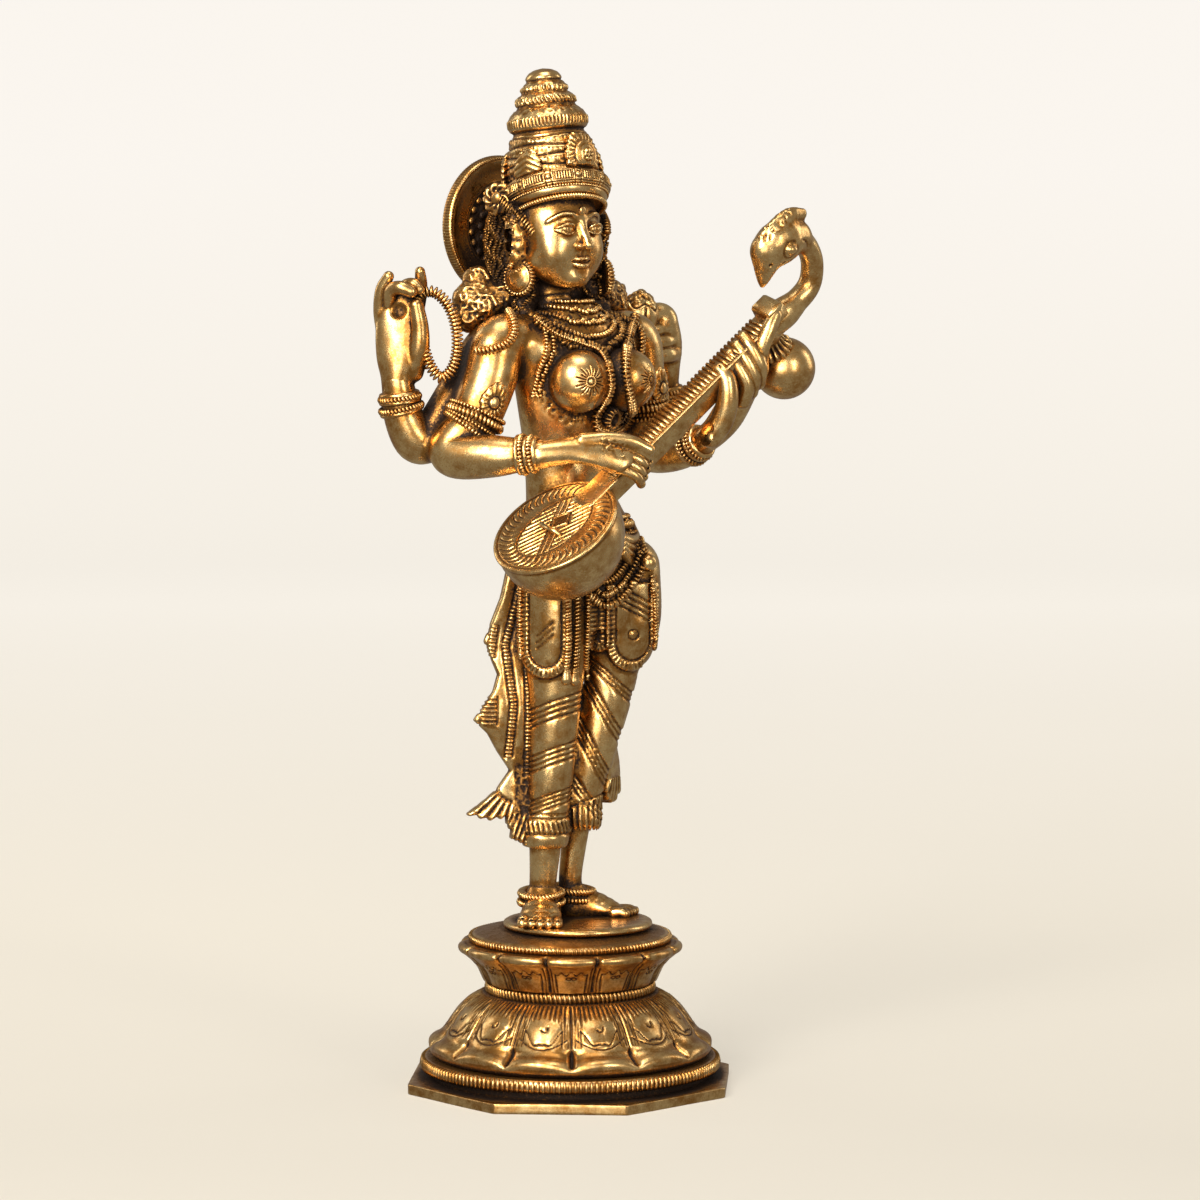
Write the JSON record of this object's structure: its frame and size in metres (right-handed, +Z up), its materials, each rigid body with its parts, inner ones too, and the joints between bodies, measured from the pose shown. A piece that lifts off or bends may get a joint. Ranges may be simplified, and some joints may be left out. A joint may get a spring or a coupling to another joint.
{
  "type": "standing deity figure",
  "caption": "Standing four-armed goddess playing a bird-headed veena, with tall crown and halo, on a stepped lotus pedestal with an octagonal foot.",
  "frame": {"origin": "centre of the pedestal's flat underside", "axes": "+Z up; the figure faces -Y; +X is on the figure's left-hand side, where the veena's neck points"},
  "size_m": [0.1244, 0.1015, 0.305],
  "materials": {
    "cast_brass": "polished high places over dark brown patina in the hollows",
    "patinated_brass": "satin brass with brown patina between the petals and on the plate"
  },
  "bodies": {
    "root": {"figure": "cast_brass", "pedestal": "patinated_brass"}
  },
  "joints": []
}
